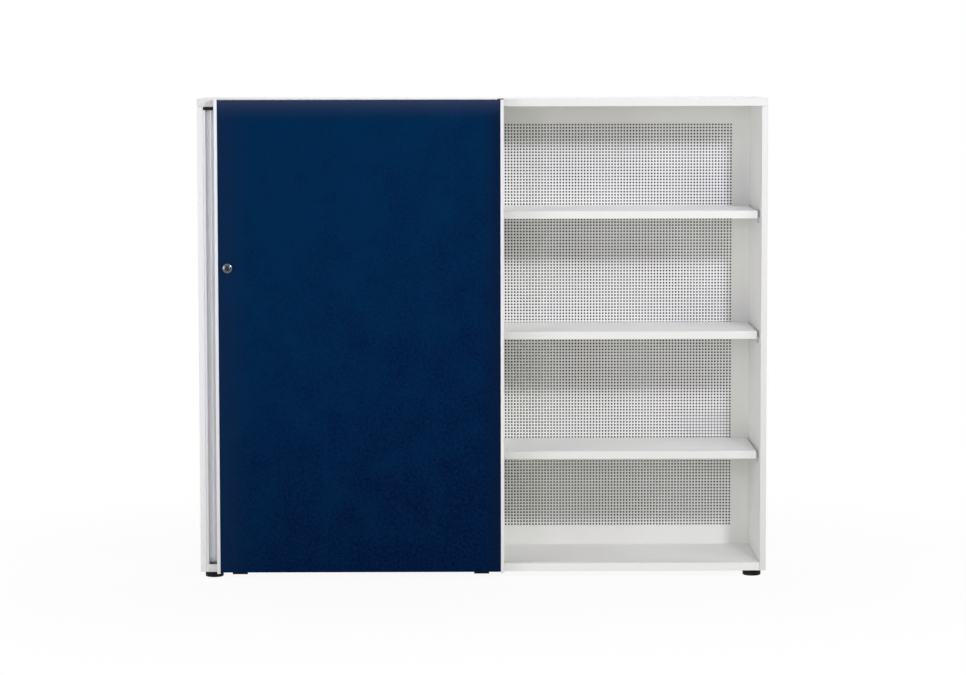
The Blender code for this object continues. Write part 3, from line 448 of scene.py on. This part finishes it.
def turned(profile, center, axis="Y", facets=96, closed=False):
    """This (radius, height) profile turned about an axis. Heights run forwards, or upwards about Z."""
    shape = bmesh.new()
    if axis == "Y":
        points = [(radius, -height, 0) for radius, height in profile]
    else:
        points = [(radius, 0, height) for radius, height in profile]
    verts = [shape.verts.new(point) for point in points]
    pairs = list(zip(verts, verts[1:]))
    if closed:
        pairs.append((verts[-1], verts[0]))
    edges = [shape.edges.new(pair) for pair in pairs]
    way = (0, 1, 0) if axis == "Y" else (0, 0, 1)
    spun = {"cent": (0, 0, 0), "axis": way, "angle": math.tau, "steps": facets, "use_duplicate": False}
    bmesh.ops.spin(shape, geom=verts + edges, **spun)
    bmesh.ops.remove_doubles(shape, verts=shape.verts[:], dist=1e-6)
    bmesh.ops.translate(shape, verts=shape.verts[:], vec=center)
    return shape


def extruded(outline, low, high):
    """A bmesh with this (x, y) outline, run between two heights."""
    shape = bmesh.new()
    face = shape.faces.new([shape.verts.new((x, y, low)) for x, y in outline])
    moved = bmesh.ops.extrude_face_region(shape, geom=[face], use_keep_orig=True)
    ends = [item for item in moved["geom"] if isinstance(item, bmesh.types.BMVert)]
    bmesh.ops.translate(shape, verts=ends, vec=(0, 0, high - low))
    return shape


def block(low, high):
    """A bmesh of a box between two corners."""
    shape = bmesh.new()
    size = Vector(high) - Vector(low)
    place = Matrix.Translation((Vector(high) + Vector(low)) / 2)
    bmesh.ops.create_cube(shape, size=1.0, matrix=place @ Matrix.Diagonal((*size, 1.0)))
    return shape


def mesh_of(name, shape, degrees=35):
    """The bmesh as a mesh, with its faces pointing out."""
    bmesh.ops.recalc_face_normals(shape, faces=shape.faces[:])
    mesh = bpy.data.meshes.new(name)
    shape.to_mesh(mesh)
    shape.free()
    smooth(mesh, degrees)
    return mesh


def cut(name, mesh, cutters, degrees=35):
    """The mesh with these bmeshes cut from it."""
    thing = bpy.data.objects.new(name, mesh)
    helpers = [bpy.data.objects.new("cutter", mesh_of("cutter", shape)) for shape in cutters]
    for item in (thing, *helpers):
        bpy.context.scene.collection.objects.link(item)
    for helper in helpers:
        step = thing.modifiers.new("cut", "BOOLEAN")
        step.operation = "DIFFERENCE"
        step.solver = "EXACT"
        step.object = helper
    bpy.context.view_layer.update()
    graph = bpy.context.evaluated_depsgraph_get()
    made = bpy.data.meshes.new_from_object(thing.evaluated_get(graph))
    made.name = name
    for item in (thing, *helpers):
        bpy.data.objects.remove(item)
    smooth(made, degrees)
    return made


def arc(center, radius, first, last, steps=8):
    """Points on an arc between two angles in degrees. A pair of radii makes it elliptical."""
    wide, deep = radius if isinstance(radius, tuple) else (radius, radius)
    angles = [math.radians(first + (last - first) * step / steps) for step in range(steps + 1)]
    return [(center[0] + wide * math.cos(a), center[1] + deep * math.sin(a)) for a in angles]


def perforated_mesh(name, xs, zs, ys, hole_columns, hole_rows):
    """A closed board on these grid lines, with a hole in each cell of these columns and rows."""
    points, faces = [], []
    width = len(xs)
    for y in ys:
        points.extend((x, y, z) for z in zs for x in xs)
    rear = width * len(zs)
    # The corners lie about as far outside the round hole as the middles of their sides lie inside it
    ring = hole_ring(HOLE_RADIUS / math.cos(math.pi / 8) ** 0.5)
    for row in range(len(zs) - 1):
        for column in range(width - 1):
            # The cell's corners, from the lower left one to the right and on round it
            a = row * width + column
            b, c, d = a + 1, a + 1 + width, a + width
            if column not in hole_columns or row not in hole_rows:
                faces.append((a, b, c, d))
                faces.append((rear + d, rear + c, rear + b, rear + a))
                continue
            middle = (xs[column] + xs[column + 1]) / 2, (zs[row] + zs[row + 1]) / 2
            first = len(points)
            for y in ys:
                points.extend((middle[0] + x, y, middle[1] + z) for x, z in ring)
            near = [first + step for step in range(8)]
            far = [first + 8 + step for step in range(8)]
            # The cell's face round the hole, then its copy at the back, then the hole's wall
            front = [
                (b, c, near[0], near[7]),
                (c, near[1], near[0]),
                (c, d, near[2], near[1]),
                (d, near[3], near[2]),
                (d, a, near[4], near[3]),
                (a, near[5], near[4]),
                (a, b, near[6], near[5]),
                (b, near[7], near[6]),
            ]
            faces.extend(front)
            back = {a: a + rear, b: b + rear, c: c + rear, d: d + rear, **dict(zip(near, far))}
            faces.extend(tuple(back[point] for point in reversed(face)) for face in front)
            faces.extend((near[k], near[(k + 1) % 8], far[(k + 1) % 8], far[k]) for k in range(8))
    # The board's edges: below and above, then left and right
    top, last = (len(zs) - 1) * width, width - 1
    for column in range(width - 1):
        faces.append((column, column + rear, column + 1 + rear, column + 1))
        low, high = top + column, top + column + 1
        faces.append((low, high, high + rear, low + rear))
    for row in range(len(zs) - 1):
        low, high = row * width, (row + 1) * width
        faces.append((low, high, high + rear, low + rear))
        low, high = low + last, high + last
        faces.append((low, low + rear, high + rear, high))
    mesh = bpy.data.meshes.new(name)
    mesh.from_pydata(points, [], faces)
    mesh.update()
    return mesh


def mark_hole_walls(mesh, core, first_corner):
    """Paints the holes' walls near black with the core look, as painted shade. Their corners come after the
    grid's own points.
    """
    mesh.materials.append(core)
    for face in mesh.polygons:
        if min(face.vertices) >= first_corner:
            face.material_index = 1


def make_backs(looks):
    """The perforated backs, each in three parts that meet edge to edge."""
    for side, sign in (("left", -1), ("right", 1)):
        low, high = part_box(f"back_panel_{side}")
        columns = sorted(sign * (FIRST_COLUMN_X + HOLE_PITCH * step) for step in range(HOLE_COLUMNS))
        rows = [UNDERSIDE_Z + FIRST_ROW_Z + HOLE_PITCH * step for step in range(HOLE_ROWS)]
        zs = [low.z] + [z - HOLE_PITCH / 2 for z in rows] + [rows[-1] + HOLE_PITCH / 2, high.z]
        start = 0
        for number, count in enumerate(BACK_PARTS, start=1):
            inside = columns[start : start + count]
            xs = [x - HOLE_PITCH / 2 for x in inside] + [inside[-1] + HOLE_PITCH / 2]
            first = 0
            if start == 0:
                xs, first = [low.x] + xs, 1
            if start + count == HOLE_COLUMNS:
                xs.append(high.x)
            name = f"perforated_back_{side}_{number}"
            hole_columns, hole_rows = range(first, first + count), range(1, len(zs) - 2)
            mesh = perforated_mesh(name, xs, zs, (low.y, high.y), hole_columns, hole_rows)
            board = piece(name, mesh, looks["back"], "carcass")
            mark_hole_walls(mesh, looks["core"], 2 * len(xs) * len(zs))
            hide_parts(f"back_panel_{side}")
            start += count


def pad_rise(distance):
    """How full the pad is at this distance from an edge: its rolled edge and its crown, each from 0 to 1."""
    roll = math.sqrt(1 - (1 - min(distance / PAD_ROUNDING, 1)) ** 2)
    crown = 1 - (1 - min(distance / PAD_CROWN_WIDTH, 1)) ** 2
    return roll, crown


def crown_at(x, z, width, height, thickness):
    """How thick the pad is at this place, before its ripple and its dimple."""
    roll_x, crown_x = pad_rise(min(x, width - x))
    roll_z, crown_z = pad_rise(min(z, height - z))
    return thickness - PAD_ROUNDING * (1 - roll_x * roll_z) - PAD_CROWN * (1 - crown_x * crown_z)


def pad_lines(size):
    """Places across the pad, close together along the rolled edges."""
    quarter = [math.pi / 2 * step / ROLL_STEPS for step in range(ROLL_STEPS + 1)]
    rolled = [PAD_ROUNDING * (1 - math.cos(turn)) for turn in quarter]
    inner = size - 2 * PAD_ROUNDING
    count = round(inner / PAD_CELL)
    even = [PAD_ROUNDING + inner * step / count for step in range(1, count)]
    return rolled + even + [size - place for place in reversed(rolled)]


def pad_ripple(x, z):
    """How far the felt dips between its highest places, in waves about 0.1 m and 0.03 m long."""
    broad = noise.noise(Vector((x * 9, 0.7, z * 7)))
    fine = noise.noise(Vector((x * 31, 4.1, z * 23)))
    return PAD_RIPPLE * (1 + broad + fine / 2)


def make_pad(looks):
    """The upholstered panel: felt drawn over foam, dimpled where the lock's rosette is screwed down on it."""
    low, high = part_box("fabric_panel")
    lock_low, lock_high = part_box("lock_housing")
    lock = (lock_low + lock_high) / 2
    rosette = (lock_high.x - lock_low.x) / 2
    width, height = high.x - low.x, high.z - low.z
    thickness = high.y - low.y
    seat = crown_at(lock.x - low.x, lock.z - low.z, width, height, thickness)
    edge = thickness - PAD_ROUNDING - PAD_CROWN
    shape = bmesh.new()
    rows = []
    for z in pad_lines(height):
        row = []
        for x in pad_lines(width):
            rise = crown_at(x, z, width, height, thickness)
            rise -= pad_ripple(x, z) * min(1, (rise - edge) / RIPPLE_START)
            away = math.hypot(x - (lock.x - low.x), z - (lock.z - low.z)) - rosette
            pressed = min(1, max(0, 1 - away / DIMPLE_WIDTH))
            rise += (seat - DIMPLE_PLAY - rise) * pressed * pressed * (3 - 2 * pressed)
            row.append(shape.verts.new((low.x + x, high.y - rise, low.z + z)))
        rows.append(row)
    for below, above in zip(rows, rows[1:]):
        for a, b, c, d in zip(below, below[1:], above[1:], above):
            shape.faces.new((a, b, c, d))
    rim = [item for item in shape.edges if item.is_boundary]
    for item in bmesh.ops.extrude_edge_only(shape, edges=rim)["geom"]:
        if isinstance(item, bmesh.types.BMVert):
            item.co.y = high.y
    bmesh.ops.holes_fill(shape, edges=[item for item in shape.edges if item.is_boundary], sides=0)
    barrel = [(0, -thickness), (PAD_HOLE_RADIUS, -thickness), (PAD_HOLE_RADIUS, thickness), (0, thickness)]
    hole = turned(barrel, (lock.x, (low.y + high.y) / 2, lock.z), facets=48)
    mesh = cut("felt_pad", mesh_of("felt_pad", shape, 60), [hole], 60)
    pad = piece("felt_pad", mesh, looks["felt"], "door")
    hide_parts("fabric_panel")


def domed_face(edge, inner, front):
    """A rounded shoulder at this edge radius, and a flat dome that rises from it to the inner radius."""
    low, high = [math.radians(tilt) for tilt in DOME_TILTS]
    shoulder = edge - SHOULDER * (1 - math.cos(low))
    radius = (shoulder - inner) / (math.cos(low) - math.cos(high))
    center = inner - radius * math.cos(high), front - radius * math.sin(high)
    start = center[1] + (radius - SHOULDER) * math.sin(low)
    rounded = arc((edge - SHOULDER, start), SHOULDER, 0, DOME_TILTS[0], steps=4)
    return [*rounded, *arc(center, radius, *DOME_TILTS, steps=10)]


def lock_axis():
    """The lock's middle, in the plane of the carcass's front."""
    low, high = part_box("lock_housing")
    return (low.x + high.x) / 2, FRONT_Y, (low.z + high.z) / 2


def reaches(node):
    """How far a node's front and rear lie before the carcass's front."""
    low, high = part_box(node)
    return FRONT_Y - low.y, FRONT_Y - high.y


def make_rosette(looks):
    """The push lock's rosette and barrel, which sit on the door."""
    low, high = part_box("lock_housing")
    front, rear = reaches("lock_housing")
    seat, edge = front - ROSETTE_HEIGHT, (high.x - low.x) / 2
    bore, throat = CYLINDER_RADIUS + PLAY, BOLT_RADIUS + PLAY
    profile = [
        (throat, rear),
        (BARREL_RADIUS, rear),
        (BARREL_RADIUS, seat),
        (edge, seat),
        *domed_face(edge, bore + BORE_RIM, front),
        (bore + BORE_CHAMFER, front),
        (bore, front - BORE_CHAMFER),
        (bore, rear + BORE_FLOOR),
        (throat, rear + BORE_FLOOR),
    ]
    mesh = mesh_of("lock_rosette", turned(profile, lock_axis(), closed=True))
    housing = piece("lock_rosette", mesh, looks["chrome"], "door")
    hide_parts("lock_housing")


def make_cylinder(looks):
    """The cylinder that is pushed in, with the bolt at its rear and a pocket for the key plug."""
    front, rear = reaches("lock_cylinder")
    pocket, shoulder = front - PLUG_LENGTH - 2 * PLAY, front - CYLINDER_LENGTH
    wall = PLUG_RADIUS + PLAY
    profile = [
        (0, rear),
        *arc((BOLT_RADIUS - BOLT_ROUNDING, rear + BOLT_ROUNDING), BOLT_ROUNDING, -90, 0),
        (BOLT_RADIUS, shoulder),
        (CYLINDER_RADIUS, shoulder),
        *domed_face(CYLINDER_RADIUS, wall + PLAY, front),
        (wall + POCKET_CHAMFER, front),
        (wall, front - POCKET_CHAMFER),
        (wall, pocket),
        (0, pocket),
    ]
    mesh = mesh_of("push_cylinder", turned(profile, lock_axis()))
    cylinder = piece("push_cylinder", mesh, looks["chrome"], "lock_cylinder")
    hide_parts("lock_cylinder")


def make_key_plug(looks):
    """The plug that the key turns, with a shallow dished face and its keyway."""
    front, rear = reaches("lock_core")
    profile = [
        (0, rear),
        (PLUG_RADIUS, rear),
        *arc((PLUG_RADIUS - PLUG_ROUNDING, front - PLUG_ROUNDING), PLUG_ROUNDING, 0, 90, steps=4),
        (PLUG_FACE_RADIUS + PLUG_FACE_SLOPE, front),
        (PLUG_FACE_RADIUS, front - PLUG_FACE_DEPTH),
        (0, front - PLUG_FACE_DEPTH),
    ]
    x, y, z = lock_axis()
    half_width, half_height = KEYWAY
    ahead, behind = y - front - KEYWAY_DEPTH, y - front + KEYWAY_DEPTH
    keyway = block((x - half_width, ahead, z - half_height), (x + half_width, behind, z + half_height))
    warding = block((x - WARDING_REACH, ahead, z + WARDING_HEIGHTS[0]), (x, behind, z + WARDING_HEIGHTS[1]))
    mesh = cut("key_plug", mesh_of("key_plug", turned(profile, lock_axis())), [keyway, warding])
    plug = piece("key_plug", mesh, looks["plug"], "lock_core")
    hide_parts("lock_core")


def make_closing_profile(looks):
    """The extruded closing profile: lip, smooth finger recess, and the flange with the strike hole."""
    low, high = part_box("closing_profile")
    side = -INNER_X
    middle = side + CLOSING_LIP + RECESS_WIDTH / 2
    half = RECESS_WIDTH / 2
    lip, soft = FRONT_Y + CLOSING_SETBACK, LIP_ROUNDING
    start, back = FRONT_Y + RECESS_START, FRONT_Y + RECESS_START + CLOSING_WALL
    outline = [
        *arc((low.x + soft, lip + soft), soft, 180, 270, steps=4),
        *arc((side + CLOSING_LIP - soft, lip + soft), soft, -90, 0, steps=4),
        *arc((middle, start), (half, RECESS_DEPTH), 180, 0, steps=48),
        *arc((high.x - soft, start + soft), soft, -90, 0, steps=4),
        (high.x, back),
        *arc((middle, back), (half + CLOSING_WALL, RECESS_DEPTH), 0, 180, steps=48),
        (side + CLOSING_LIP - CLOSING_WALL, lip + CLOSING_WALL),
        (low.x + CLOSING_WALL, lip + CLOSING_WALL),
        (low.x + CLOSING_WALL, FRONT_Y + SIDE_WEB),
        (low.x, FRONT_Y + SIDE_WEB),
    ]
    # The flange ends short of the caps, and the cutters reach well past it on both sides
    flange = side + CLOSING_LIP + RECESS_WIDTH + CLOSING_WALL + PLAY
    ahead, behind = FRONT_Y - SIDE_WEB, FRONT_Y + SIDE_WEB
    lock_low, lock_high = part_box("lock_housing")
    lock = (lock_low + lock_high) / 2
    hole = BOLT_RADIUS + STRIKE_PLAY
    strike = [(0, -SIDE_WEB), (hole, -SIDE_WEB), (hole, SIDE_WEB), (0, SIDE_WEB)]
    cutters = [
        block((flange, ahead, CEILING_Z - FLANGE_END_TOP), (0, behind, CEILING_Z)),
        block((flange, ahead, UNDERSIDE_Z), (0, behind, FLOOR_Z + FLANGE_END_FLOOR)),
        turned(strike, (lock.x, FRONT_Y, lock.z), facets=48),
    ]
    mesh = cut("closing_extrusion", mesh_of("closing_extrusion", extruded(outline, low.z, high.z)), cutters)
    profile = piece("closing_extrusion", mesh, looks["lacquer"], "carcass")
    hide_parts("closing_profile")


def make_feet(looks):
    """Round glides with a soft lower edge and a fine groove under the collar."""
    names = [part["node"] for part in frame["record"]["subparts"] if part["node"].startswith("foot_")]
    for name in names:
        low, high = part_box(name)
        radius = (high.x - low.x) / 2
        flat = radius - FOOT_ROUNDING
        top = UNDERSIDE_Z - PLAY
        profile = [
            (0, FOOT_HOLLOW),
            (flat - FOOT_LAND, FOOT_HOLLOW),
            (flat - FOOT_LAND + FOOT_HOLLOW, 0),
            *arc((flat, FOOT_ROUNDING), FOOT_ROUNDING, -90, -4, steps=10),
            *((radius - depth, top - drop) for depth, drop in FOOT_GROOVE),
            *arc((radius - COLLAR_ROUNDING, top - COLLAR_ROUNDING), COLLAR_ROUNDING, 0, 90, steps=4),
            (STEM_RADIUS, top),
            (STEM_RADIUS, high.z),
            (0, high.z),
        ]
        axis = ((low.x + high.x) / 2, (low.y + high.y) / 2, 0)
        mesh = mesh_of(f"glide_{name}", turned(profile, axis, "Z", facets=72))
        foot = piece(f"glide_{name.removeprefix('foot_')}", mesh, looks["black"], "carcass")
        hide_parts(name)


def make_camera():
    """The photograph's camera: turned by its yaw, then pitched down, then rolled."""
    ahead = Vector((-math.sin(CAMERA_YAW), math.cos(CAMERA_YAW), 0))
    right = Vector((math.cos(CAMERA_YAW), math.sin(CAMERA_YAW), 0))
    up = Vector((0, 0, 1))
    forward = ahead * math.cos(CAMERA_PITCH) - up * math.sin(CAMERA_PITCH)
    above = ahead * math.sin(CAMERA_PITCH) + up * math.cos(CAMERA_PITCH)
    side = right * math.cos(CAMERA_ROLL) + above * math.sin(CAMERA_ROLL)
    over = above * math.cos(CAMERA_ROLL) - right * math.sin(CAMERA_ROLL)
    turn = Matrix((side, over, -forward)).transposed().to_4x4()
    camera = bpy.data.objects.new("camera", bpy.data.cameras.new("camera"))
    bpy.context.scene.collection.objects.link(camera)
    camera.data.sensor_width = SENSOR_WIDTH
    camera.data.lens = CAMERA_FOCAL * SENSOR_WIDTH / IMAGE_WIDTH
    camera.data.clip_end = 100
    place = CAMERA_X, FRONT_Y - CAMERA_DISTANCE, UNDERSIDE_Z + CAMERA_HEIGHT
    camera.matrix_world = Matrix.Translation(place) @ turn
    bpy.context.scene.camera = camera


def add_lamp(name, place, size, power, color=(1, 1, 1)):
    """A square lamp aimed at the cabinet's middle. Its place is x, distance before the front, and height."""
    x, distance, height = place
    light = bpy.data.lights.new(name, "AREA")
    light.size = size
    light.energy = power
    light.color = color
    lamp = bpy.data.objects.new(name, light)
    bpy.context.scene.collection.objects.link(lamp)
    lamp.location = (x, FRONT_Y - distance, height)
    way = lamp.location - Vector((0, 0, LAMP_AIM))
    lamp.rotation_euler = way.to_track_quat("Z", "Y").to_euler()


def make_lights():
    """Two small lamps for the photograph's shadows, and wider ones that fill them."""
    add_lamp("key_right", (1.43, 3.06, 2.48), 0.28, 55.0, (0.93, 0.92, 1.0))
    add_lamp("key_left", (-1.375, 5.2, 1.72), 0.40, 20.0, (0.86, 0.81, 1.0))
    add_lamp("side_left", (-4.0, 3.0, 1.5), 2.5, 79.0, (0.99, 1.0, 1.0))
    add_lamp("fill_right", (3.5, 3.5, 3.5), 2.0, 76.0, (1.0, 1.0, 0.92))
    add_lamp("fill_low", (0.0, 2.0, 0.25), 0.6, 2.0, (0.98, 1.0, 0.4))
    add_lamp("rear_top", (0.0, -1.8, 3.6), 2.0, 46.0)


def background_seen(tree):
    """1 for the rays that show the background: from the camera, and in mirrors and glass."""
    path = tree.nodes.new("ShaderNodeLightPath")
    share = path.outputs["Is Camera Ray"]
    for name in ("Is Glossy Ray", "Is Transmission Ray"):
        either = tree.nodes.new("ShaderNodeMath")
        either.operation = "MAXIMUM"
        tree.links.new(share, either.inputs[0])
        tree.links.new(path.outputs[name], either.inputs[1])
        share = either.outputs[0]
    return share


def backdrop_material():
    """White paper: it shows as white, and keeps a share of the object's shadow near the object."""
    material = bpy.data.materials.new("white_paper")
    material.use_nodes = True
    tree = material.node_tree
    tree.nodes.clear()
    paper = tree.nodes.new("ShaderNodeBsdfDiffuse")
    paper.inputs["Color"].default_value = PAPER_COLOR
    glow = tree.nodes.new("ShaderNodeEmission")
    glow.inputs["Strength"].default_value = 1.0
    place = tree.nodes.new("ShaderNodeTexCoord")
    away = tree.nodes.new("ShaderNodeVectorMath")
    away.operation = "LENGTH"
    tree.links.new(place.outputs["Object"], away.inputs[0])
    fade = tree.nodes.new("ShaderNodeMapRange")
    tree.links.new(away.outputs["Value"], fade.inputs["Value"])
    fade.inputs["From Min"].default_value, fade.inputs["From Max"].default_value = GLOW_FADE
    fade.inputs["To Min"].default_value = PAPER_GLOW
    fade.inputs["To Max"].default_value = 1.0
    share = tree.nodes.new("ShaderNodeMath")
    share.operation = "MULTIPLY"
    tree.links.new(fade.outputs["Result"], share.inputs[1])
    tree.links.new(background_seen(tree), share.inputs[0])
    mix = tree.nodes.new("ShaderNodeMixShader")
    tree.links.new(share.outputs[0], mix.inputs["Fac"])
    tree.links.new(paper.outputs[0], mix.inputs[1])
    tree.links.new(glow.outputs[0], mix.inputs[2])
    out = tree.nodes.new("ShaderNodeOutputMaterial")
    tree.links.new(mix.outputs[0], out.inputs["Surface"])
    return material


def make_world():
    """White to the camera and in reflections, and a soft fill light for everything else."""
    world = bpy.data.worlds.new("studio")
    bpy.context.scene.world = world
    world.use_nodes = True
    tree = world.node_tree
    tree.nodes.clear()
    fill = tree.nodes.new("ShaderNodeBackground")
    fill.inputs["Strength"].default_value = WORLD_LEVEL
    fill.inputs["Color"].default_value = WORLD_COLOR
    white = tree.nodes.new("ShaderNodeBackground")
    white.inputs["Strength"].default_value = 1.0
    white.inputs["Color"].default_value = (1, 1, 1, 1)
    mix = tree.nodes.new("ShaderNodeMixShader")
    out = tree.nodes.new("ShaderNodeOutputWorld")
    tree.links.new(background_seen(tree), mix.inputs["Fac"])
    tree.links.new(fill.outputs[0], mix.inputs[1])
    tree.links.new(white.outputs[0], mix.inputs[2])
    tree.links.new(mix.outputs[0], out.inputs["Surface"])


def make_floor():
    """A wide plain floor, which isn't part of the object."""
    shape = bmesh.new()
    bmesh.ops.create_grid(shape, x_segments=2, y_segments=2, size=FLOOR_REACH)
    mesh = bpy.data.meshes.new("floor")
    shape.to_mesh(mesh)
    shape.free()
    floor = bpy.data.objects.new("floor", mesh)
    bpy.context.scene.collection.objects.link(floor)
    floor.data.materials.append(backdrop_material())


looks = make_materials()
dress_frame(looks)
make_backs(looks)
make_pad(looks)
make_rosette(looks)
make_cylinder(looks)
make_key_plug(looks)
make_closing_profile(looks)
make_feet(looks)
make_camera()
make_lights()
make_world()
make_floor()

scene = bpy.context.scene
scene.view_settings.view_transform = "Standard"

bpy.context.view_layer.update()
